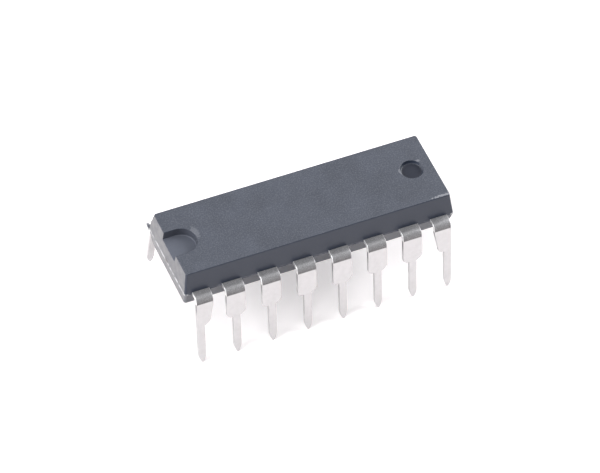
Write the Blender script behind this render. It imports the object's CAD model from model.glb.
"""Dual in-line chip package: moulded body, sixteen plated leads, the die inside, and their finishes."""

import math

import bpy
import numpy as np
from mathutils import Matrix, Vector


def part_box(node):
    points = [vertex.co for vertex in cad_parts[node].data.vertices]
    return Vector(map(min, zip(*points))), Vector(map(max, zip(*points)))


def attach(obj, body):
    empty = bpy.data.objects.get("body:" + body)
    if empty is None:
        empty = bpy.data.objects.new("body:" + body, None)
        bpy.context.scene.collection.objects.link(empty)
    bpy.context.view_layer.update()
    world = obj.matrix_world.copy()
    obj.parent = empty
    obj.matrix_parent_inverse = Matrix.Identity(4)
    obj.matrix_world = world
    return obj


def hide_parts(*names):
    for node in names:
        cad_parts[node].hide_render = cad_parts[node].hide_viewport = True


bl_info = {
    "name": "Dual in-line chip package",
    "version": (1, 0, 0),
    "blender": (4, 5, 0),
    "location": "View3D > Sidebar > Chip",
    "description": "Builds the moulded body, the leads, the inner pieces and a studio for them",
    "category": "Add Mesh",
}

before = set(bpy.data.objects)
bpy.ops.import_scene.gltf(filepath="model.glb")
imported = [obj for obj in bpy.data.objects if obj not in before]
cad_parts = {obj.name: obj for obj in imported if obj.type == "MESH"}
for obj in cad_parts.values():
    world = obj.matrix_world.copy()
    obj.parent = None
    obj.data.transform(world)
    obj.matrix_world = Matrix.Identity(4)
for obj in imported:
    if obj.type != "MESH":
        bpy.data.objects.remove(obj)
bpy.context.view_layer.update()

MM = 0.001
LEAD_NODES = sorted(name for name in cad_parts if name.startswith("lead_"))
WIRE_NODES = sorted(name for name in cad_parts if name.startswith("bond_wire_"))
ROW_LEADS = len(LEAD_NODES) // 2
HALF_ROW = ROW_LEADS // 2


def length(label, text, millimetres):
    """A length that a user may change, given here in millimetres and kept in metres."""
    return bpy.props.FloatProperty(
        name=label, description=text, default=millimetres * MM,
        min=0.0, precision=6, subtype="DISTANCE", unit="LENGTH",
    )


def slope(label, text, degrees):
    """An angle that a user may change, given here in degrees and kept in radians."""
    return bpy.props.FloatProperty(
        name=label, description=text, default=math.radians(degrees),
        precision=4, subtype="ANGLE", unit="ROTATION",
    )


def colour(label, text, red, green, blue):
    """A colour that a user may change, in linear light."""
    return bpy.props.FloatVectorProperty(
        name=label, description=text, default=(red, green, blue),
        size=3, min=0.0, max=1.0, subtype="COLOR",
    )


def point(label, text, x, y, z):
    """A place that a user may change, given here in millimetres and kept in metres."""
    return bpy.props.FloatVectorProperty(
        name=label, description=text, default=(x * MM, y * MM, z * MM),
        size=3, precision=6, subtype="TRANSLATION", unit="LENGTH",
    )


def share(label, text, value, top=1.0):
    """A plain number that a user may change."""
    return bpy.props.FloatProperty(name=label, description=text, default=value, min=0.0, max=top)


class BodySizes(bpy.types.PropertyGroup):
    """Sizes of the moulded body that its box doesn't give."""
    upper_end_draft: slope("Upper end draft", "Draft of the two ends above the parting line", 7.0)
    upper_side_draft: slope("Upper side draft", "Draft of the two long sides above the parting line", 13.0)
    lower_end_draft: slope("Lower end draft", "Draft of the two ends below the parting line", 7.0)
    lower_side_draft: slope("Lower side draft", "Draft of the two long sides below the parting line", 17.0)
    corner_r: length("Corner radius", "Radius of the upright corners", 0.17)
    upper_edge_r: length("Top edge radius", "Radius of the edge round the top face", 0.06)
    lower_edge_r: length("Bottom edge radius", "Radius of the edge round the underside", 0.3)
    flash_h: length("Flash height", "Height of the fine ridge along the parting line", 0.11)
    flash_out: length("Flash depth", "How far that ridge stands out", 0.018)
    notch_r: length("Notch radius", "Radius of the index notch", 1.05)
    notch_in: length("Notch reach", "From the end of the body to the centre of the notch's round end", 1.04)
    notch_depth: length("Notch depth", "Depth of the index notch", 0.6)
    notch_widen: length("Notch draft", "How far the notch's wall leans out from its floor", 0.04)
    mark_d: length("Mark diameter", "Diameter of an ejector-pin mark at the surface", 1.55)
    mark_floor_d: length("Mark floor diameter", "Diameter of an ejector-pin mark at its floor", 1.4)
    mark_depth: length("Mark depth", "Depth of an ejector-pin mark", 0.2)
    mark_in: length("Mark reach", "From the end of the body to the centre of a mark", 1.7)
    mark_off: length("Mark offset", "How far the top mark lies off the centre line", 0.13)
    gate_out: length("Gate stub", "How far the broken-off gate stands out at the back left corner", 0.37)
    gate_w: length("Gate width", "Width of the gate stub", 0.26)
    gate_h: length("Gate height", "Height of the gate stub", 0.22)
    gate_in: length("Gate place", "From the end of the body to the middle of the gate stub", 0.06)
    fillet_r: length("Floor fillet", "Radius where the floor of a recess meets its wall", 0.06)
    lip_r: length("Lip radius", "Radius of the worn lip round a recess", 0.035)


class LeadSizes(bpy.types.PropertyGroup):
    """Sizes of the formed leads and of the fingers inside the body."""
    lead_t: length("Strip thickness", "Thickness of the lead strip", 0.25)
    pitch: length("Pitch", "Distance from lead to lead along a row", 2.54)
    stub_l: length("Stub", "Straight run from the side of the body to the bend", 0.31)
    splay: slope("Splay", "Angle by which each row leans outwards", 9.1)
    bend_r: length("Bend radius", "Inner radius of the bend", 0.2)
    shoulder_w: length("Shoulder width", "Width of a lead's shoulder", 1.37)
    corner_w: length("Corner shoulder", "From the shaft's centre to a corner shoulder's inner side", 0.95)
    corner_foot_w: length("Corner shoulder foot", "The same width at the foot of the shoulder", 0.69)
    shoulder_run: length("Shoulder run", "Straight run of a corner lead's shoulder before it narrows", 0.25)
    shaft_w: length("Shaft width", "Width of a lead's shaft", 0.52)
    foot_rise: length("Foot rise", "Height of the rounded corners at the foot of the shoulder", 0.4)
    foot_fillet: length("Foot fillet", "Length of the fillet where such a corner meets the shaft", 0.07)
    foot_full: share("Full corner", "Fullness of the left corner at a shoulder's foot", 3.2, 8.0)
    foot_slope: share("Sloped corner", "Fullness of the right corner at a shoulder's foot", 1.3, 8.0)
    pin_l: length("Pin length", "Height of the feet of the shoulders above the tips", 3.14)
    tip_l: length("Tip length", "Length of the taper at the tip", 0.7)
    tip_w: length("Tip width", "Width of the tip", 0.16)
    tip_power: share("Tip power", "The tip's width falls with this power of the way along it", 1.8, 4.0)
    anchor_l: length("Anchor", "How far the full width of a lead reaches into the body", 0.62)
    lock_d: length("Lock hole", "Diameter of the hole that the moulding compound fills", 0.42)
    lock_in: length("Lock hole reach", "From the side of the body to the centre of that hole", 0.34)
    finger_w: length("Finger width", "Width of a finger", 0.38)
    finger_gap: length("Finger gap", "Gap from finger to finger and to the die pad", 0.22)
    finger_knee: length("Finger knee", "Sloped corner where a long finger turns to the die pad", 0.5)
    pad_l: length("Die pad length", "Length of the die pad", 3.2)
    pad_w: length("Die pad width", "Width of the die pad", 2.3)
    tie_w: length("Tie bar width", "Width of the tie bars", 0.4)
    edge_r: length("Edge radius", "Radius of the plated edges of a lead", 0.045)
    soft_r: length("Outline softness", "Half length of the rounding where a corner shoulder narrows", 0.14)


class Finishes(bpy.types.PropertyGroup):
    """Colours and finishes of the materials."""
    compound: colour("Moulding compound", "Open surface of the dark moulding compound", 0.048, 0.053, 0.069)
    compound_dark: colour("Pin mark compound", "Smooth compound under the ejector pins", 0.015, 0.017, 0.027)
    compound_side: colour("Side compound", "Smoother compound of the long sides", 0.022, 0.0275, 0.044)
    compound_notch: colour("Notch compound", "Coarser compound in the index notch", 0.083, 0.089, 0.111)
    compound_worn: colour("Worn compound", "Scuffed and chipped spots of the compound", 0.27, 0.27, 0.29)
    flash: colour("Flash", "Thin pale film of resin along the parting line", 0.57, 0.56, 0.56)
    rubbed: colour("Rubbed ends", "Compound rubbed pale by its neighbours in a tube", 0.165, 0.16, 0.163)
    plating: colour("Tin plating", "Matte tin on the leads", 0.572, 0.56, 0.565)
    polished: colour("Polished tin", "Tin polished by the forming tool beside the bend", 0.82, 0.81, 0.81)
    stretched: colour("Stretched tin", "Tin dulled where it was stretched round the bend", 0.275, 0.27, 0.275)
    copper: colour("Copper", "Bare strip of the die pad", 0.72, 0.36, 0.2)
    tarnish: colour("Tarnish", "Cut end of a tie bar", 0.2, 0.18, 0.17)
    adhesive: colour("Adhesive", "Cured adhesive under the die", 0.34, 0.35, 0.36)
    silicon: colour("Silicon", "Face of the die", 0.09, 0.1, 0.16)
    gold: colour("Gold", "Bond wires", 0.9, 0.62, 0.22)


class Studio(bpy.types.PropertyGroup):
    """Floor, surroundings and camera."""
    floor_glow: share("Floor glow", "Light given off by the back-lit floor", 0.13, 4.0)
    floor_white: share("Floor white", "Share of the light from above that the floor returns", 0.92)
    floor_tint: colour("Floor tint", "Tint of the floor", 1.0, 0.955, 0.945)
    sky_low: share("Sky near the horizon", "Brightness of the surroundings near the horizon", 0.08, 4.0)
    sky_high: share("Sky overhead", "Brightness of the surroundings overhead", 0.5, 4.0)
    sky_tint: colour("Sky tint", "Tint of the surroundings", 0.96, 0.98, 1.0)
    window: share("Window", "Brightness of the broad window overhead, in front and to the left", 1.4, 20.0)
    bank_left: share("Left bank", "Brightness of the bank of soft lights to the left", 8.2, 20.0)
    bank_right: share("Right bank", "Brightness of the bank of soft lights to the right", 9.2, 20.0)
    lens: bpy.props.FloatProperty(
        name="Lens", description="Focal length for a sensor 36 mm wide, in millimetres", default=300.3,
    )
    roll: slope("Camera roll", "Turn of the camera about its line of sight", 3.62)
    camera_at: point("Camera place", "From the middle of the parting plane", -93.559, -191.151, 254.362)
    camera_aim: point("Camera aim", "Where the camera looks, from the same point", -0.642, -1.259, 0.0)


# Meshes

def link(name, data):
    """A new object in the scene for a finished mesh or a camera."""
    made = bpy.data.objects.new(name, data)
    bpy.context.scene.collection.objects.link(made)
    return made


def tube_object(name, rings, mirrored=False):
    """Closed surface through rings of points, given as an array of rows, columns and xyz: four-sided
    faces join each ring to the next, and one face covers each end. The columns run anticlockwise
    about the direction of the rows, unless the shape is mirrored."""
    rows, columns, _ = rings.shape
    start = np.arange(rows - 1)[:, None] * columns
    here = np.arange(columns)[None, :]
    after = (here + 1) % columns
    quads = np.stack([start + here, start + after, start + columns + after, start + columns + here], axis=-1)
    first_end = np.arange(columns)[::-1]
    last_end = (rows - 1) * columns + np.arange(columns)
    turn = -1 if mirrored else 1
    faces = quads.reshape(-1, 4)[:, ::turn].tolist()
    faces += [first_end[::turn].tolist(), last_end[::turn].tolist()]
    mesh = bpy.data.meshes.new(name)
    mesh.from_pydata(rings.reshape(-1, 3).tolist(), [], faces)
    return link(name, mesh)


def rounded_rectangle(low_u, high_u, low_v, high_v, radius, steps):
    """Points round rectangles with quarter-circle corners, anticlockwise from the lower right corner.
    The five sizes are arrays with one value for each ring; a corner's points are its centre plus
    the radius times the cosine and sine of steps + 1 angles. Returns u and v, ring by column."""
    low_u, high_u, low_v, high_v, radius = (
        np.atleast_1d(size)[:, None, None] for size in (low_u, high_u, low_v, high_v, radius)
    )
    angle = np.radians(np.linspace(0, 90, steps + 1)[None, :] + 90 * np.arange(-1, 3)[:, None])[None]
    right = np.array([1, 1, 0, 0])[None, :, None]
    upper = np.array([0, 1, 1, 0])[None, :, None]
    centre_u = np.where(right, high_u - radius, low_u + radius)
    centre_v = np.where(upper, high_v - radius, low_v + radius)
    rings = len(radius)
    u = (centre_u + radius * np.cos(angle)).reshape(rings, -1)
    v = (centre_v + radius * np.sin(angle)).reshape(rings, -1)
    return u, v


def combine(piece, others, operation):
    """Adds the others' volumes to the piece, or takes them out of it, keeps the result as its mesh
    and removes the others."""
    for other in others:
        step = piece.modifiers.new(other.name, "BOOLEAN")
        step.operation = operation
        step.solver = "EXACT"
        step.object = other
    keep_result(piece)
    for other in others:
        bpy.data.objects.remove(other)


def keep_result(piece):
    """Makes the outcome of the piece's modifiers its own mesh."""
    graph = bpy.context.evaluated_depsgraph_get()
    mesh = bpy.data.meshes.new_from_object(piece.evaluated_get(graph))
    piece.modifiers.clear()
    old = piece.data
    piece.data = mesh
    bpy.data.meshes.remove(old)
    mesh.name = piece.name


def note_values(piece, domain, **values):
    """Keeps one number for each point or face of the piece under each name, for its material."""
    for name, numbers in values.items():
        attribute = piece.data.attributes.new(name, "FLOAT", domain)
        attribute.data.foreach_set("value", np.ascontiguousarray(numbers, dtype=np.float32).ravel())


def face_normals(piece):
    """Normals and centres of the faces of a piece, as two arrays."""
    normals = np.empty(3 * len(piece.data.polygons))
    centres = np.empty(3 * len(piece.data.polygons))
    piece.data.polygons.foreach_get("normal", normals)
    piece.data.polygons.foreach_get("center", centres)
    return normals.reshape(-1, 3), centres.reshape(-1, 3)


def smooth_faces(piece, sharp_degrees):
    """Shades the piece smoothly up to the given angle, with normals that favour the large faces."""
    piece.data.polygons.foreach_set("use_smooth", np.ones(len(piece.data.polygons), bool))
    piece.data.set_sharp_from_angle(angle=math.radians(sharp_degrees))
    weights = piece.modifiers.new("normals", "WEIGHTED_NORMAL")
    weights.keep_sharp = True
    weights.weight = 100
    keep_result(piece)


def carry(piece, slot, *nodes):
    """Puts a finished piece in the place of its nodes, on the package's one body."""
    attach(piece, "root")
    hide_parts(*nodes)


# The moulded body

def half_profile(height, drafts, edge_r, steps):
    """Height of one half of the body from the parting plane to its flat face, and the insets of
    its ends and of its sides: a straight draft, then a quarter circle that rounds the edge."""
    angle = np.radians(np.linspace(0, 90, steps + 1))
    level = height - edge_r * (1 - np.sin(angle))
    rounding = edge_r * (1 - np.cos(angle))
    return level, level[:, None] * np.tan(drafts) + rounding[:, None]


def flash_profile(sizes, steps=6):
    """Height and outward reach of the ridge along the parting line: half a wave of the cosine."""
    way = np.linspace(-1, 1, steps + 1)
    return way * sizes.flash_h / 2, sizes.flash_out * (0.5 + 0.5 * np.cos(math.pi * way))


def body_rings(sizes, low, high, parting_z):
    """Rings of the body from the underside to the top face. Each ring is a rectangle with rounded
    corners whose insets from the parting line's outline follow the drafts and the rounded edges."""
    steps = 6
    lower_drafts = (sizes.lower_end_draft, sizes.lower_side_draft)
    upper_drafts = (sizes.upper_end_draft, sizes.upper_side_draft)
    lower, lower_in = half_profile(parting_z - low.z, lower_drafts, sizes.lower_edge_r, steps)
    upper, upper_in = half_profile(high.z - parting_z, upper_drafts, sizes.upper_edge_r, steps)
    ridge, ridge_out = flash_profile(sizes)
    drafts = np.where(ridge[:, None] < 0, lower_drafts, upper_drafts)
    ridge_in = np.abs(ridge)[:, None] * np.tan(drafts) - ridge_out[:, None]
    z = parting_z + np.concatenate([-lower[::-1], ridge, upper])
    end_in, side_in = np.concatenate([lower_in[::-1], ridge_in, upper_in]).T
    x, y = rounded_rectangle(
        low.x + end_in, high.x - end_in, low.y + side_in, high.y - side_in,
        np.full(len(z), sizes.corner_r), steps,
    )
    return np.stack([x, y, np.broadcast_to(z[:, None], x.shape)], axis=-1)


def recess_profile(sizes, depth, draft_out, flare=15):
    """Outward reach and height of a recess's wall, from the edge of its flat floor to above the
    surface: a quarter-circle fillet, a drafted wall and a lip that flares like a quarter circle
    until it rises by flare degrees only. The reach counts from the wall's line at the surface."""
    fillet_r, lip_r = sizes.fillet_r, sizes.lip_r
    fillet = np.radians(np.linspace(-90, 0, 6))
    foot = -draft_out * (depth - fillet_r) / depth
    wall_out = foot - fillet_r + fillet_r * np.cos(fillet)
    wall_z = -depth + fillet_r + fillet_r * np.sin(fillet)
    lip = np.radians(np.linspace(180, 90 + flare, 6))
    lip_out = lip_r + lip_r * np.cos(lip)
    lip_z = -lip_r + lip_r * np.sin(lip)
    rise = math.tan(math.radians(flare))
    out = np.concatenate([wall_out, lip_out, [lip_out[-1] + depth]])
    z = np.concatenate([wall_z, lip_z, [lip_z[-1] + depth * rise]])
    return out, z


def recess_cutter(name, outline, normals, out, z, surface_z, downwards=False):
    """Closed cutter for a recess: the profile of its wall carried along the outline, pushed along
    the outline's outward normals by the profile's reach, between a floor and a lid."""
    flat = outline[None, :, :] + normals[None, :, :] * out[:, None, None]
    level = np.broadcast_to(z[:, None], flat.shape[:2])
    if downwards:
        level = -level
    rings = np.concatenate([flat, (surface_z + level)[:, :, None]], axis=-1)
    return tube_object(name, rings, mirrored=downwards)


def mark_cutter(name, sizes, x, y, surface_z, downwards=False):
    """Cutter for an ejector-pin mark: the wall's profile carried round a circle."""
    angle = np.linspace(0, 2 * math.pi, 64, endpoint=False)
    normals = np.stack([np.cos(angle), np.sin(angle)], axis=-1)
    outline = np.array([x, y]) + normals * sizes.mark_d / 2
    draft_out = (sizes.mark_d - sizes.mark_floor_d) / 2
    out, z = recess_profile(sizes, sizes.mark_depth, draft_out)
    return recess_cutter(name, outline, normals, out, z, surface_z, downwards)


def notch_cutter(sizes, low, high):
    """Cutter for the index notch: the wall's profile carried round half a circle and out past the
    end of the body along two straight lines."""
    angle = np.radians(np.linspace(-90, 90, 41))
    arc = np.stack([np.cos(angle), np.sin(angle)], axis=-1)
    centre = np.array([low.x + sizes.notch_in, 0.0])
    past = sizes.notch_in + sizes.notch_depth
    first = centre + [[-past, -sizes.notch_r]]
    last = centre + [[-past, sizes.notch_r]]
    outline = np.concatenate([first, centre + arc * sizes.notch_r, last])
    normals = np.concatenate([[[0, -1]], arc, [[0, 1]]])
    out, z = recess_profile(sizes, sizes.notch_depth, sizes.notch_widen)
    return recess_cutter("notch", outline, normals, out, z, high.z)


def gate_stub(sizes, low, high, parting_z):
    """What is left of the compound that filled the mould, broken off at the back left corner: a
    rounded rectangle carried outwards from the long side, narrowing along a quarter ellipse that
    stops short of its end, where the stub broke."""
    root, break_at = 0.2 * MM, math.radians(80)
    way = np.linspace(0, break_at, 7)
    out = np.concatenate([[-root], sizes.gate_out * np.sin(way)])
    width = np.concatenate([[1.0], np.cos(way)])
    half_x = width * sizes.gate_w / 2
    half_z = width * sizes.gate_h / 2
    u, v = rounded_rectangle(-half_x, half_x, -half_z, half_z, 0.6 * half_z, 3)
    y = np.broadcast_to((high.y + out)[:, None], u.shape)
    rings = np.stack([low.x + sizes.gate_in + u, y, parting_z + v], axis=-1)
    return tube_object("gate_stub", rings, mirrored=True)


def note_regions(body, sizes, low, high):
    """Notes which faces belong to the ends, the long sides, the notch and the notch's wall. They
    are told apart by their centres and by how far their normals point along each axis."""
    squarely, nearly, largely, partly = 0.93, 0.85, 0.7, 0.35
    end_reach = 0.3 * MM
    normals, centres = face_normals(body)
    along_x, along_y, along_z = np.abs(normals).T
    x, y, z = centres.T
    end = (along_x > squarely) & (np.abs(x) > high.x - end_reach)
    notch_back = low.x + sizes.notch_in + sizes.notch_r + sizes.lip_r
    floor_z = high.z - 1.05 * sizes.notch_depth
    lip_z = high.z - 0.5 * sizes.lip_r
    notch = (x < notch_back) & (np.abs(y) < sizes.notch_r) & (z > floor_z) & (z < lip_z) & ~end
    long_side = (along_y > partly) & (along_z < nearly) & ~notch
    notch_wall = notch & (along_z < largely)
    note_values(body, "FACE", long_side=long_side, end=end, notch=notch, notch_wall=notch_wall)


class CHIP_OT_moulded_body(bpy.types.Operator):
    """Builds the moulded body with its drafts, parting line, index notch and ejector-pin marks"""
    bl_idname = "chip.moulded_body"
    bl_label = "Moulded body"

    def execute(self, context):
        sizes = context.scene.chip_body
        low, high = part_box("moulded_body")
        parting_z = parting_height(context)
        body = tube_object("body_of_compound", body_rings(sizes, low, high, parting_z))
        combine(body, [gate_stub(sizes, low, high, parting_z)], "UNION")
        right_x = high.x - sizes.mark_in
        left_x = low.x + sizes.mark_in
        combine(body, [
            notch_cutter(sizes, low, high),
            mark_cutter("mark_top", sizes, right_x, sizes.mark_off, high.z),
            mark_cutter("mark_under_a", sizes, right_x, 0.0, low.z, downwards=True),
            mark_cutter("mark_under_b", sizes, left_x, 0.0, low.z, downwards=True),
        ], "DIFFERENCE")
        smooth_faces(body, 35)
        note_regions(body, sizes, low, high)
        body.data.materials.append(compound_material(context))
        carry(body, "moulding_compound", "moulded_body")
        return {"FINISHED"}


# The leads

def parting_height(context):
    """Height of the parting plane, which is the middle of the flat strip that a lead starts as."""
    _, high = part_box(LEAD_NODES[0])
    return high.z - context.scene.chip_leads.lead_t / 2


def soft_ramp(past, soft):
    """Zero before a corner, the distance past it after it, and a parabola within soft of it."""
    rounding = (past + soft) ** 2 / (4 * soft)
    return np.where(past > soft, past, np.where(past > -soft, rounding, 0.0))


def shape_number(number):
    """Which of the shapes 1 (at a corner) to 4 (at the middle) the lead has."""
    in_row = (number - 1) % ROW_LEADS + 1
    return min(in_row, ROW_LEADS + 1 - in_row)


def lead_signs(number):
    """Signs of x and y that carry a shape from the left half of the front row to the lead's place."""
    front = number <= ROW_LEADS
    left_half = (number - 1) % ROW_LEADS < HALF_ROW
    return (1 if front == left_half else -1), (1 if front else -1)


def place_in_row(shape, pitch):
    """X of a shape of the front row's left half, for shapes that stand a pitch apart."""
    return -(HALF_ROW + 0.5 - shape) * pitch


def lead_edges(sizes, shape):
    """Left and right edge of the shoulder, and right edge at its foot, from the shaft's centre."""
    if shape == 1:
        return -sizes.shaft_w / 2, sizes.corner_w, sizes.corner_foot_w
    return -sizes.shoulder_w / 2, sizes.shoulder_w / 2, sizes.shoulder_w / 2


def finger_route(sizes, shape, finger_x, anchor_y):
    """Corners of a finger's centre line from the die pad out to its anchor. The two long fingers
    of a quarter end beside the end of the pad, the two short ones along its side, with a slope
    between two shares of the way from the anchor."""
    tip_x = -(sizes.pad_l / 2 + sizes.finger_gap)
    tip_y = -(sizes.pad_w / 2 + sizes.finger_gap)
    if shape <= 2:
        step = sizes.finger_gap + sizes.finger_w
        y = -(sizes.tie_w / 2 + sizes.finger_gap + sizes.finger_w / 2 + (shape - 1) * step)
        knee = sizes.finger_knee
        route = [(tip_x, y), (finger_x + knee, y), (finger_x, y - knee), (finger_x, anchor_y)]
    else:
        x = place_in_row(shape, sizes.pad_l / HALF_ROW)
        outer_share = 0.1
        inner_share = 0.7 if shape == 3 else 0.35
        outer_y = anchor_y + outer_share * (tip_y - anchor_y)
        inner_y = anchor_y + inner_share * (tip_y - anchor_y)
        route = [(x, tip_y), (x, inner_y), (finger_x, outer_y), (finger_x, anchor_y)]
    return np.array(route)


def finger_stations(sizes, shape, finger_x, anchor_y, parting_z):
    """Centres along a finger and the direction across it at each. Where it turns it is mitred: the
    two directions across are added and divided by one plus their scalar product."""
    route = finger_route(sizes, shape, finger_x, anchor_y)
    way = np.diff(route, axis=0)
    way /= np.linalg.norm(way, axis=1, keepdims=True)
    across = np.stack([-way[:, 1], way[:, 0]], axis=-1)
    before = np.concatenate([across[:1], across])
    after = np.concatenate([across, across[-1:]])
    mitre = (before + after) / (1 + np.sum(before * after, axis=1, keepdims=True))
    flat = np.zeros(len(route))
    return np.column_stack([route, flat + parting_z]), np.column_stack([mitre, flat])


def foot_corner(sizes, drop, fullness, sweep=75):
    """Way down and share of the shoulder's overhang left along a corner at its foot: sweep degrees
    of the quarter of a superellipse of the given drop, then a concave quarter that meets the
    shaft. A fullness of 1 is a straight slope, 2 an ellipse, and more is a squarer corner."""
    down = np.sin(np.radians(np.linspace(0, sweep, 9)))
    out = (1 - down ** fullness) ** (1 / fullness)
    fillet = np.radians(np.linspace(0, 90, 5)[1:])
    fillet_down = drop * down[-1] + sizes.foot_fillet * (1 - np.cos(fillet))
    fillet_out = out[-1] * (1 - np.sin(fillet))
    return np.concatenate([drop * down, fillet_down]), np.concatenate([out, fillet_out])


def leg_outline(sizes, shape, leg_l, turned):
    """Way down the leg from the end of the bend, with the left and the right edge there: the
    shoulder, whose right edge turns softly to its foot, the corners at the foot, the shaft, and a
    tip whose width falls with a power of the way along it. The strip was stamped from one side,
    so the left corner at a foot is full and the right one sloped, or the other way round for a
    shape that will be mirrored."""
    left, right, right_foot = lead_edges(sizes, shape)
    foot_s = leg_l - sizes.pin_l / math.cos(sizes.splay)
    slope_s = foot_s - sizes.foot_rise / math.cos(sizes.splay)
    left_full, right_full = sizes.foot_full, sizes.foot_slope
    if turned:
        left_full, right_full = right_full, left_full
    foot_down, foot_left = foot_corner(sizes, foot_s - slope_s, left_full)
    _, foot_right = foot_corner(sizes, foot_s - slope_s, right_full)
    soft = np.linspace(-sizes.soft_r, sizes.soft_r, 7)
    taper = np.linspace(0, 1, 13)
    s = np.concatenate([sizes.shoulder_run + soft, slope_s + foot_down, leg_l - sizes.tip_l * (1 - taper)])
    out_left, out_right = (
        np.concatenate([np.ones(len(soft)), out, np.zeros(len(taper))]) for out in (foot_left, foot_right)
    )
    narrowing = (right_foot - right) / (slope_s - sizes.shoulder_run)
    shoulder = right + narrowing * soft_ramp(s - sizes.shoulder_run, sizes.soft_r)
    shoulder = np.where(s < slope_s, shoulder, right_foot)
    half_shaft = sizes.shaft_w / 2
    along = np.clip((s - leg_l + sizes.tip_l) / sizes.tip_l, 0, 1)
    narrow = 1 - (1 - sizes.tip_w / sizes.shaft_w) * along ** sizes.tip_power
    leg_left = narrow * (-half_shaft + out_left * (left + half_shaft))
    leg_right = narrow * (half_shaft + out_right * (shoulder - half_shaft))
    return s, leg_left, leg_right


def lead_stations(sizes, shape, side_y, parting_z, turned):
    """Stations of a lead of the front row's left half from its finger to its tip, as arrays: centre,
    direction across the strip, direction through the strip, left edge, right edge and the way
    along the strip, which is zero just outside the body. The finger lies flat, the bend is an
    arc, and the leg runs straight down to the floor."""
    beside = 0.05 * MM
    left, right, _ = lead_edges(sizes, shape)
    centre_x = place_in_row(shape, sizes.pitch)
    anchor_y = side_y + sizes.anchor_l
    middle_r = sizes.bend_r + sizes.lead_t / 2
    bend_y = side_y - sizes.stub_l
    bend_z = parting_z - middle_r
    full_turn = math.pi / 2 - sizes.splay

    finger_centre, finger_across = finger_stations(
        sizes, shape, centre_x + (left + right) / 2, anchor_y, parting_z,
    )
    flat_y = np.array([anchor_y, side_y + beside, side_y - beside])
    fingers, flats = len(finger_centre), len(flat_y)
    turn = np.linspace(0, full_turn, 17)
    y = np.concatenate([flat_y, bend_y - middle_r * np.sin(turn)])
    z = np.concatenate([np.full(flats, parting_z), bend_z + middle_r * np.cos(turn)])

    leg_l = (bend_z + sizes.bend_r * math.sin(sizes.splay)) / math.cos(sizes.splay)
    s, leg_left, leg_right = leg_outline(sizes, shape, leg_l, turned)
    plain = np.ones(len(y))
    y = np.concatenate([y, y[-1] - s * math.sin(sizes.splay)])
    z = np.concatenate([z, z[-1] - s * math.cos(sizes.splay)])
    lean = np.concatenate([np.zeros(flats), turn, np.full(len(s), full_turn)])

    straight = np.full(len(y), centre_x)
    centre = np.concatenate([finger_centre, np.column_stack([straight, y, z])])
    across = np.concatenate([finger_across, np.tile([1.0, 0.0, 0.0], (len(y), 1))])
    lean = np.concatenate([np.zeros(fingers), lean])
    through = np.column_stack([np.zeros(len(lean)), -np.sin(lean), np.cos(lean)])
    half_finger = np.full(fingers, sizes.finger_w / 2)
    left_edge = np.concatenate([-half_finger, left * plain, leg_left])
    right_edge = np.concatenate([half_finger, right * plain, leg_right])
    way = np.concatenate([[0.0], np.cumsum(np.linalg.norm(np.diff(centre, axis=0), axis=1))])
    return centre, across, through, left_edge, right_edge, way - way[fingers + flats - 1]


def lead_rings(sizes, number, side_y, parting_z):
    """Rings of a lead: a rounded rectangle carried through its stations, in the lead's own place.
    Also gives each point's share of the way across the strip, from -1 to 1, and its way along
    the strip, which is zero just outside the body."""
    sign_x, sign_y = lead_signs(number)
    mirrored = sign_x * sign_y < 0
    centre, across, through, left, right, way = lead_stations(
        sizes, shape_number(number), side_y, parting_z, mirrored,
    )
    half_t = np.full(len(left), sizes.lead_t / 2)
    u, v = rounded_rectangle(left, right, -half_t, half_t, np.full(len(left), sizes.edge_r), 4)
    share_across = (2 * u - (left + right)[:, None]) / (right - left)[:, None]
    way_along = np.broadcast_to(way[:, None], u.shape)
    rings = centre[:, None, :] + u[:, :, None] * across[:, None, :] + v[:, :, None] * through[:, None, :]
    return rings * [sign_x, sign_y, 1], mirrored, share_across, way_along


def lock_cutter(sizes, number, side_y, parting_z):
    """Round cutter for the lock hole in the middle of a lead's anchor."""
    shape = shape_number(number)
    left, right, _ = lead_edges(sizes, shape)
    centre_x = place_in_row(shape, sizes.pitch) + (left + right) / 2
    sign_x, sign_y = lead_signs(number)
    angle = np.linspace(0, 2 * math.pi, 24, endpoint=False)
    x = sign_x * centre_x + sizes.lock_d / 2 * np.cos(angle)
    y = sign_y * (side_y + sizes.lock_in) + sizes.lock_d / 2 * np.sin(angle)
    rings = np.stack([
        np.column_stack([x, y, np.full(24, parting_z + end * sizes.lead_t)]) for end in (-1, 1)
    ])
    return tube_object("lock_hole", rings)


class CHIP_OT_leads(bpy.types.Operator):
    """Builds the sixteen leads, each one formed strip from its finger to its tip"""
    bl_idname = "chip.leads"
    bl_label = "Leads"

    def execute(self, context):
        sizes = context.scene.chip_leads
        low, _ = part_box("moulded_body")
        parting_z = parting_height(context)
        plating = plating_material(context)
        for number, node in enumerate(LEAD_NODES, start=1):
            rings, mirrored, across, along = lead_rings(sizes, number, low.y, parting_z)
            lead = tube_object("plated_" + node, rings, mirrored)
            note_values(lead, "POINT", across=across, along=along)
            combine(lead, [lock_cutter(sizes, number, low.y, parting_z)], "DIFFERENCE")
            smooth_faces(lead, 40)
            lead.data.materials.append(plating)
            carry(lead, "plated_lead", node)
        return {"FINISHED"}


# The pieces inside

class CHIP_OT_inner_pieces(bpy.types.Operator):
    """Gives the die pad, the adhesive, the die and the bond wires their finishes"""
    bl_idname = "chip.inner_pieces"
    bl_label = "Inner pieces"

    def execute(self, context):
        look = context.scene.chip_finishes
        finishes = {
            "die_pad": strip_material(context),
            "die_attach": adhesive_material(context),
            "die": silicon_material(context),
        }
        gold = metal_material("gold_wire", look.gold, 0.16, 0.02 * MM)
        finishes.update({node: gold for node in WIRE_NODES})
        for node, material in finishes.items():
            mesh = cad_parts[node].data
            mesh.materials.clear()
            mesh.materials.append(material)
        return {"FINISHED"}


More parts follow.
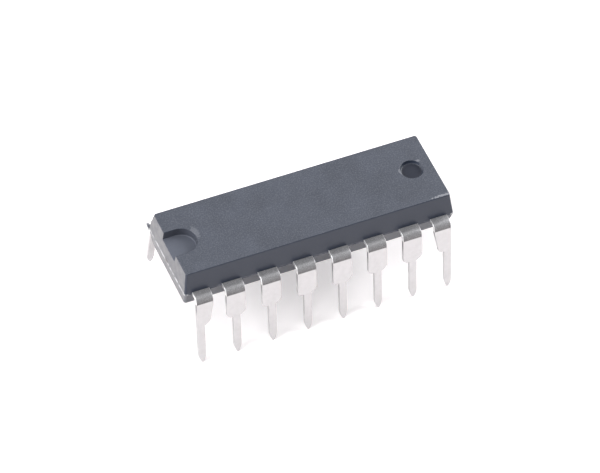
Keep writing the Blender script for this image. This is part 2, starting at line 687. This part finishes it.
# Materials

def place(tree, kind, inputs=None, **settings):
    """A new shader node with its settings; an input that is given a socket is linked to it."""
    made = tree.nodes.new(kind)
    for name, value in settings.items():
        setattr(made, name, value)
    for name, value in (inputs or {}).items():
        if isinstance(value, bpy.types.NodeSocket):
            tree.links.new(value, made.inputs[name])
        else:
            made.inputs[name].default_value = value
    return made


def new_group(name, inputs, outputs):
    """A new shader node group with named inputs and outputs, each given as name: (kind, default)."""
    group = bpy.data.node_groups.new(name, "ShaderNodeTree")
    for label, (kind, default) in inputs.items():
        socket = group.interface.new_socket(label, in_out="INPUT", socket_type="NodeSocket" + kind)
        if default is not None:
            socket.default_value = default
    for label, kind in outputs.items():
        group.interface.new_socket(label, in_out="OUTPUT", socket_type="NodeSocket" + kind)
    return group, place(group, "NodeGroupInput").outputs, place(group, "NodeGroupOutput").inputs


def mottle_group():
    """Uneven tone: noise of a given grain size, spread over the range from Low to High."""
    name = "uneven_tone"
    if name in bpy.data.node_groups:
        return bpy.data.node_groups[name]
    group, given, wanted = new_group(
        name,
        {"Vector": ("Vector", None), "Grain": ("Float", MM), "Low": ("Float", 0.0), "High": ("Float", 1.0)},
        {"Value": "Float"},
    )
    scale = math_node(group, "DIVIDE", 1.0, given["Grain"])
    noise = noise_node(group, given["Vector"], scale, 3.0)
    spread = place(group, "ShaderNodeMapRange", {
        "Value": noise, "From Min": 0.3, "From Max": 0.7, "To Min": given["Low"], "To Max": given["High"],
    })
    group.links.new(spread.outputs["Result"], wanted["Value"])
    return group


def relief_group():
    """Fine relief: noise as the height of a bump."""
    name = "fine_relief"
    if name in bpy.data.node_groups:
        return bpy.data.node_groups[name]
    group, given, wanted = new_group(name, {
        "Vector": ("Vector", None), "Grain": ("Float", MM), "Depth": ("Float", 0.01 * MM),
        "Strength": ("Float", 1.0),
    }, {"Normal": "Vector"})
    scale = math_node(group, "DIVIDE", 1.0, given["Grain"])
    noise = noise_node(group, given["Vector"], scale, 4.0, 0.6)
    group.links.new(bump_node(group, noise, given["Depth"], given["Strength"]), wanted["Normal"])
    return group


def mottle(tree, position, grain, low, high):
    """A value that wanders between low and high in grains of the given size."""
    given = {"Vector": position, "Grain": grain, "Low": low, "High": high}
    return place(tree, "ShaderNodeGroup", given, node_tree=mottle_group()).outputs[0]


def relief(tree, position, grain, depth, strength):
    """The normal of a fine relief of the given grain and depth."""
    given = {"Vector": position, "Grain": grain, "Depth": depth, "Strength": strength}
    return place(tree, "ShaderNodeGroup", given, node_tree=relief_group()).outputs[0]


def new_material(name, **constants):
    """A material with a Principled shader, its constants set on the shader's own sockets."""
    material = bpy.data.materials.new(name)
    material.use_nodes = True
    tree = material.node_tree
    shader = tree.nodes["Principled BSDF"]
    for label, value in constants.items():
        shader.inputs[label.replace("_", " ")].default_value = value
    position = place(tree, "ShaderNodeTexCoord").outputs["Object"]
    return material, tree, shader.inputs, position


def feed(tree, shader, **sources):
    """Links each source to the shader's socket of its name."""
    for label, source in sources.items():
        tree.links.new(source, shader[label.replace("_", " ")])


def blend_colours(tree, factor, first, second):
    """Mix of two colours; each may be a colour or a socket."""
    first, second = (
        tint if isinstance(tint, bpy.types.NodeSocket) else (*tint, 1.0) for tint in (first, second)
    )
    return place(tree, "ShaderNodeMix", {0: factor, 6: first, 7: second}, data_type="RGBA").outputs[2]


def shade(tint, strength):
    """A colour made darker or lighter."""
    return [strength * part for part in tint]


def math_node(tree, operation, *values, clamp=False):
    """One arithmetic step; each value may be a number or a socket."""
    given = dict(enumerate(values))
    return place(tree, "ShaderNodeMath", given, operation=operation, use_clamp=clamp).outputs[0]


def product(tree, first, *others, clamp=False):
    """All the values multiplied together."""
    for other in others:
        first = math_node(tree, "MULTIPLY", first, other, clamp=clamp)
    return first


def vector_node(tree, operation, *values):
    """One step of vector arithmetic; each value may be a vector or a socket."""
    made = place(tree, "ShaderNodeVectorMath", dict(enumerate(values)), operation=operation)
    return made.outputs["Value" if operation in ("LENGTH", "DOT_PRODUCT") else "Vector"]


def split(tree, vector):
    """The three parts of a vector or a colour, by the names X, Y and Z."""
    return place(tree, "ShaderNodeSeparateXYZ", {0: vector}).outputs


def noted(tree, name):
    """A number that the mesh keeps under the name."""
    return place(tree, "ShaderNodeAttribute", attribute_name=name).outputs["Fac"]


def noise_node(tree, vector, scale, detail, roughness=0.5):
    """Noise around one half; a higher detail adds finer and finer layers to it."""
    given = {"Vector": vector, "Scale": scale, "Detail": detail, "Roughness": roughness}
    return place(tree, "ShaderNodeTexNoise", given).outputs["Fac"]


def bump_node(tree, height, depth, strength):
    """The normal of a surface raised by a height from zero to one times the depth."""
    given = {"Strength": strength, "Distance": depth, "Height": height}
    return place(tree, "ShaderNodeBump", given).outputs["Normal"]


def faded(tree, value, start, end, curve="SMOOTHSTEP"):
    """Zero where the value is at its start, one where it is at its end."""
    given = {"Value": value, "From Min": start, "From Max": end}
    return place(tree, "ShaderNodeMapRange", given, interpolation_type=curve).outputs["Result"]


def spot_mask(tree, position, centre, radii, ragged):
    """One inside an uneven spot and zero outside: the distance from the spot's centre, counted in
    radii and disturbed by noise, fades from one to zero near the edge."""
    moved = vector_node(tree, "SUBTRACT", position, centre)
    distance = vector_node(tree, "LENGTH", vector_node(tree, "MULTIPLY", moved, [1 / r for r in radii]))
    uneven = math_node(tree, "ADD", distance, mottle(tree, position, 0.12 * MM, -ragged, ragged))
    return faded(tree, uneven, 1.1, 0.7, "LINEAR")


def scuff_mask(tree, position, sizes, low, high, mark_centre):
    """How worn the compound is: a pale arc behind the notch, a chipped front right edge and two
    scuffs beside the pin mark. Each spot has a start, its centre's way from there and its radii,
    both in millimetres, how ragged it is and how strong."""
    notch_back = Vector((low.x + sizes.notch_in + sizes.notch_r, 0.0, high.z))
    corner = Vector((high.x, low.y, high.z))
    spots = (
        (notch_back, (0.05, 0.33, 0.0), (0.25, 0.58, 0.2), 0.3, 0.2),
        (corner, (-0.7, 0.5, 0.0), (0.75, 0.09, 0.2), 0.5, 0.6),
        (mark_centre, (0.62, 0.55, 0.2), (0.25, 0.1, 0.1), 0.4, 0.35),
        (mark_centre, (-0.8, 0.1, 0.2), (0.1, 0.25, 0.1), 0.4, 0.35),
    )
    worn = 0.0
    for start, away, radii, ragged, strength in spots:
        spot = spot_mask(tree, position, start + MM * Vector(away), MM * Vector(radii), ragged)
        worn = math_node(tree, "MAXIMUM", worn, product(tree, spot, strength))
    return worn


def flash_mask(tree, position, long_side, high, parting_z):
    """Where the film of resin lies: along the parting line, ragged, full at the ends and faint on
    the long sides."""
    place_on = split(tree, position)
    off_parting = math_node(tree, "ABSOLUTE", math_node(tree, "SUBTRACT", place_on["Z"], parting_z))
    off_end = math_node(tree, "SUBTRACT", high.x, math_node(tree, "ABSOLUTE", place_on["X"]))
    on_ridge = faded(tree, off_parting, 0.12 * MM, 0.06 * MM, "LINEAR")
    on_end = faded(tree, off_end, 0.3 * MM, 0.2 * MM, "LINEAR")
    strength = math_node(tree, "MAXIMUM", on_end, product(tree, long_side, 0.12))
    ragged = mottle(tree, position, 0.3 * MM, 0.1, 1.0)
    return product(tree, on_ridge, strength, ragged, clamp=True)


def compound_material(context):
    """Dark moulding compound: uneven tone, pale filler specks, a fine spark-eroded relief, smoother
    long sides and ejector-pin marks, rubbed ends and a few scuffs where the edges were knocked."""
    look = context.scene.chip_finishes
    sizes = context.scene.chip_body
    low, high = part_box("moulded_body")
    material, tree, shader, position = new_material("moulding_compound", IOR=1.46)
    long_side, end, notch, notch_wall = (
        noted(tree, name) for name in ("long_side", "end", "notch", "notch_wall")
    )

    broad = mottle(tree, position, 1.6 * MM, 0.0, 1.0)
    base = blend_colours(tree, broad, shade(look.compound, 0.9), shade(look.compound, 1.12))
    grain = mottle(tree, position, 0.09 * MM, -0.6, 1.0)
    base = blend_colours(tree, product(tree, grain, 0.16, clamp=True), base, look.compound_worn)

    mark_centre = Vector((high.x - sizes.mark_in, sizes.mark_off, high.z - sizes.mark_depth))
    half = sizes.mark_d / 2
    in_mark = spot_mask(tree, position, mark_centre, (half, half, sizes.mark_depth), 0.02)
    base = blend_colours(tree, in_mark, base, look.compound_dark)
    worn = scuff_mask(tree, position, sizes, low, high, mark_centre)
    base = blend_colours(tree, worn, base, look.compound_worn)

    rub = mottle(tree, position, 0.45 * MM, 0.5, 0.95)
    flash = flash_mask(tree, position, long_side, high, parting_height(context))
    base = blend_colours(tree, long_side, base, look.compound_side)
    base = blend_colours(tree, notch, base, look.compound_notch)
    base = blend_colours(tree, product(tree, notch_wall, 0.6), base, look.compound_dark)
    base = blend_colours(tree, product(tree, rub, end), base, look.rubbed)
    base = blend_colours(tree, flash, base, look.flash)

    rough = mottle(tree, position, 0.5 * MM, 0.515, 0.565)
    rough = math_node(tree, "SUBTRACT", rough, product(tree, in_mark, 0.1))
    rough = math_node(tree, "SUBTRACT", rough, product(tree, long_side, 0.24))
    eroded = math_node(tree, "SUBTRACT", 0.8, product(tree, long_side, 0.6))
    normal = relief(tree, position, 0.05 * MM, 0.006 * MM, eroded)
    feed(tree, shader, Base_Color=base, Roughness=rough, Normal=normal)
    return material


def plating_material(context):
    """Matte tin over a rolled strip: a soft uneven sheen and fine lines along the lead, deeper where
    the plating was stretched round the bend, with a pressed line at the foot of the bend."""
    look = context.scene.chip_finishes
    material, tree, shader, position = new_material("tin_plating", Metallic=1.0)
    along = noted(tree, "along")
    aside = math_node(tree, "ABSOLUTE", noted(tree, "across"))
    at_bend = faded(tree, along, 0.85 * MM, 0.79 * MM)
    at_edge = faded(tree, aside, 0.93, 0.985)
    at_side = faded(tree, aside, 0.965, 0.995)
    upper_leg = faded(tree, along, 1.9 * MM, 1.2 * MM)
    bend_foot = faded(tree, along, 0.55 * MM, 0.77 * MM)
    off_edge = math_node(tree, "SUBTRACT", 1.0, at_edge)
    off_bend = math_node(tree, "SUBTRACT", 1.0, at_bend)

    broad = mottle(tree, position, 0.35 * MM, 0.0, 1.0)
    base = blend_colours(tree, broad, shade(look.plating, 0.95), look.plating)
    dulled = product(tree, at_bend, off_edge, mottle(tree, position, 0.05 * MM, 0.6, 1.15), clamp=True)
    sheared = product(tree, at_side, upper_leg, off_bend)
    base = blend_colours(tree, product(tree, at_bend, at_edge), base, look.polished)
    base = blend_colours(tree, math_node(tree, "MAXIMUM", dulled, sheared), base, look.stretched)
    base = blend_colours(tree, product(tree, dulled, bend_foot), base, shade(look.stretched, 0.6))
    sheen = mottle(tree, position, 0.2 * MM, 0.38, 0.5)
    rough = math_node(tree, "ADD", sheen, product(tree, dulled, 0.22))

    lengthwise = vector_node(tree, "MULTIPLY", position, (1.0, 0.06, 0.06))
    crosswise = vector_node(tree, "MULTIPLY", position, (0.12, 1.0, 1.0))
    lines = noise_node(tree, lengthwise, 1 / (0.03 * MM), 2.0)
    creases = noise_node(tree, crosswise, 1 / (0.06 * MM), 3.0)
    deeper = math_node(tree, "ADD", 0.35, product(tree, at_bend, 1.2))
    height = math_node(tree, "ADD", product(tree, lines, deeper), product(tree, creases, at_bend, 0.6))
    normal = bump_node(tree, height, 0.008 * MM, 0.7)
    feed(tree, shader, Base_Color=base, Roughness=rough, Normal=normal)
    return material


def metal_material(name, tint, roughness, grain):
    """Bare metal with an uneven sheen and a fine relief."""
    material, tree, shader, position = new_material(name, Metallic=1.0)
    base = blend_colours(tree, mottle(tree, position, grain, 0.0, 1.0), shade(tint, 0.85), tint)
    rough = mottle(tree, position, grain, roughness, 1.4 * roughness)
    normal = relief(tree, position, grain / 2, grain / 40, 0.5)
    feed(tree, shader, Base_Color=base, Roughness=rough, Normal=normal)
    return material


def strip_material(context):
    """Bare copper strip, dulled where the tie bars were cut off at the ends of the body."""
    look = context.scene.chip_finishes
    _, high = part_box("moulded_body")
    material = metal_material("copper_strip", look.copper, 0.32, 0.12 * MM)
    tree = material.node_tree
    base = tree.nodes["Principled BSDF"].inputs["Base Color"]
    along = split(tree, place(tree, "ShaderNodeTexCoord").outputs["Object"])["X"]
    at_cut = faded(tree, math_node(tree, "ABSOLUTE", along), high.x - 0.1 * MM, high.x - 0.05 * MM)
    bare = base.links[0].from_socket
    tree.links.new(blend_colours(tree, at_cut, bare, look.tarnish), base)
    return material


def cell_tone(tree, position, cell, distance="EUCLIDEAN"):
    """A number from zero to one, drawn anew for each cell of a pattern of the given cell size."""
    given = {"Vector": position, "Scale": 1 / cell}
    cells = place(tree, "ShaderNodeTexVoronoi", given, distance=distance)
    return split(tree, cells.outputs["Color"])["X"]


def adhesive_material(context):
    """Cured adhesive full of silver flakes."""
    look = context.scene.chip_finishes
    material, tree, shader, position = new_material("die_adhesive")
    shine = cell_tone(tree, position, 0.03 * MM)
    base = blend_colours(tree, shine, shade(look.adhesive, 0.6), look.adhesive)
    metal = math_node(tree, "GREATER_THAN", shine, 0.55)
    rough = mottle(tree, position, 0.05 * MM, 0.35, 0.6)
    normal = relief(tree, position, 0.04 * MM, 0.004 * MM, 0.8)
    feed(tree, shader, Base_Color=base, Metallic=metal, Roughness=rough, Normal=normal)
    return material


def silicon_material(context):
    """Polished silicon with a faint pattern of circuit cells."""
    look = context.scene.chip_finishes
    material, tree, shader, position = new_material("silicon", Metallic=0.6)
    tone = cell_tone(tree, position, 0.09 * MM, "CHEBYCHEV")
    base = blend_colours(tree, tone, look.silicon, shade(look.silicon, 2.2))
    feed(tree, shader, Base_Color=base, Roughness=mottle(tree, position, 0.2 * MM, 0.08, 0.16))
    return material


# The studio

def studio_floor(studio):
    """A wide white floor that glows softly, like a back-lit sheet of acrylic."""
    half = 1.5
    corners = [(-half, -half, 0), (half, -half, 0), (half, half, 0), (-half, half, 0)]
    mesh = bpy.data.meshes.new("studio_floor")
    mesh.from_pydata(corners, [], [(0, 1, 2, 3)])
    tint = np.array(studio.floor_tint)
    material, _, _, _ = new_material(
        "floor_acrylic", Base_Color=(*(studio.floor_white * tint), 1.0), Roughness=0.5,
        Emission_Color=(*tint, 1.0), Emission_Strength=studio.floor_glow,
    )
    mesh.materials.append(material)
    link("studio_floor", mesh)


def sky_bank(tree, towards, side, centre_y, bright):
    """Light of a bank of soft lights on the left (side -1) or the right (1), which fades out at its
    edges: aside, to the front and the back, and downwards."""
    aside = faded(tree, product(tree, towards["X"], side), 0.6, 0.78)
    off_centre = math_node(tree, "ABSOLUTE", math_node(tree, "SUBTRACT", towards["Y"], centre_y))
    level = faded(tree, off_centre, 0.6, 0.35)
    raised = faded(tree, towards["Z"], 0.1, 0.3)
    return product(tree, aside, level, raised, bright)


def studio_sky(studio):
    """Surroundings that brighten from the horizon to overhead, with a broad window above the front
    and a bank of soft lights on either side, high enough to leave the floor under the package in
    the shade."""
    window_middle = (-0.35, -0.45, 0.82)
    world = bpy.data.worlds.new("studio_sky")
    bpy.context.scene.world = world
    world.use_nodes = True
    tree = world.node_tree
    direction = place(tree, "ShaderNodeTexCoord").outputs["Generated"]
    towards = split(tree, direction)
    tone = place(tree, "ShaderNodeMapRange", {
        "Value": towards["Z"], "From Max": 0.75, "To Min": studio.sky_low, "To Max": studio.sky_high,
    }).outputs["Result"]
    near_window = faded(tree, vector_node(tree, "DOT_PRODUCT", direction, window_middle), 0.84, 0.94)
    lights = (
        sky_bank(tree, towards, -1, 0.1, studio.bank_left),
        sky_bank(tree, towards, 1, 0.25, studio.bank_right),
        product(tree, near_window, studio.window),
    )
    for light in lights:
        tone = math_node(tree, "ADD", tone, light)
    background = tree.nodes["Background"]
    background.inputs["Color"].default_value = (*studio.sky_tint, 1.0)
    tree.links.new(tone, background.inputs["Strength"])


def studio_camera(studio, parting_z):
    """The camera of the photograph: it looks down past the left end of the front side."""
    middle = Vector((0.0, 0.0, parting_z))
    stand = middle + studio.camera_at
    forward = (studio.camera_aim - studio.camera_at).normalized()
    level = forward.cross(Vector((0, 0, 1))).normalized()
    upright = level.cross(forward)
    right = level * math.cos(studio.roll) + upright * math.sin(studio.roll)
    up = right.cross(forward)
    data = bpy.data.cameras.new("photo_camera")
    data.lens = studio.lens
    data.sensor_width = 36.0
    data.clip_start = 0.01
    data.clip_end = 20.0
    camera = link("photo_camera", data)
    camera.matrix_world = Matrix.Translation(stand) @ Matrix((right, up, -forward)).transposed().to_4x4()
    bpy.context.scene.camera = camera


class CHIP_OT_studio(bpy.types.Operator):
    """Sets up the floor, the surroundings with their soft lights, and the camera"""
    bl_idname = "chip.studio"
    bl_label = "Studio"

    def execute(self, context):
        studio = context.scene.chip_studio
        context.scene.view_settings.view_transform = "Standard"
        studio_floor(studio)
        studio_sky(studio)
        studio_camera(studio, parting_height(context))
        return {"FINISHED"}


OPERATORS = (CHIP_OT_moulded_body, CHIP_OT_leads, CHIP_OT_inner_pieces, CHIP_OT_studio)


class CHIP_PT_package(bpy.types.Panel):
    """Lists the steps that build the package"""
    bl_idname = "CHIP_PT_package"
    bl_label = "Chip package"
    bl_space_type = "VIEW_3D"
    bl_region_type = "UI"
    bl_category = "Chip"

    def draw(self, context):
        for operator in OPERATORS:
            self.layout.operator(operator.bl_idname)


SETTINGS = {
    "chip_body": BodySizes,
    "chip_leads": LeadSizes,
    "chip_finishes": Finishes,
    "chip_studio": Studio,
}


def register():
    for group in SETTINGS.values():
        bpy.utils.register_class(group)
    for name, group in SETTINGS.items():
        setattr(bpy.types.Scene, name, bpy.props.PointerProperty(type=group))
    for operator in OPERATORS:
        bpy.utils.register_class(operator)
    bpy.utils.register_class(CHIP_PT_package)


def unregister():
    bpy.utils.unregister_class(CHIP_PT_package)
    for operator in reversed(OPERATORS):
        bpy.utils.unregister_class(operator)
    for name in SETTINGS:
        delattr(bpy.types.Scene, name)
    for group in reversed(SETTINGS.values()):
        bpy.utils.unregister_class(group)


def main():
    """Builds the package and its studio."""
    register()
    bpy.ops.chip.moulded_body()
    bpy.ops.chip.leads()
    bpy.ops.chip.inner_pieces()
    bpy.ops.chip.studio()


if __name__ == "__main__":
    main()
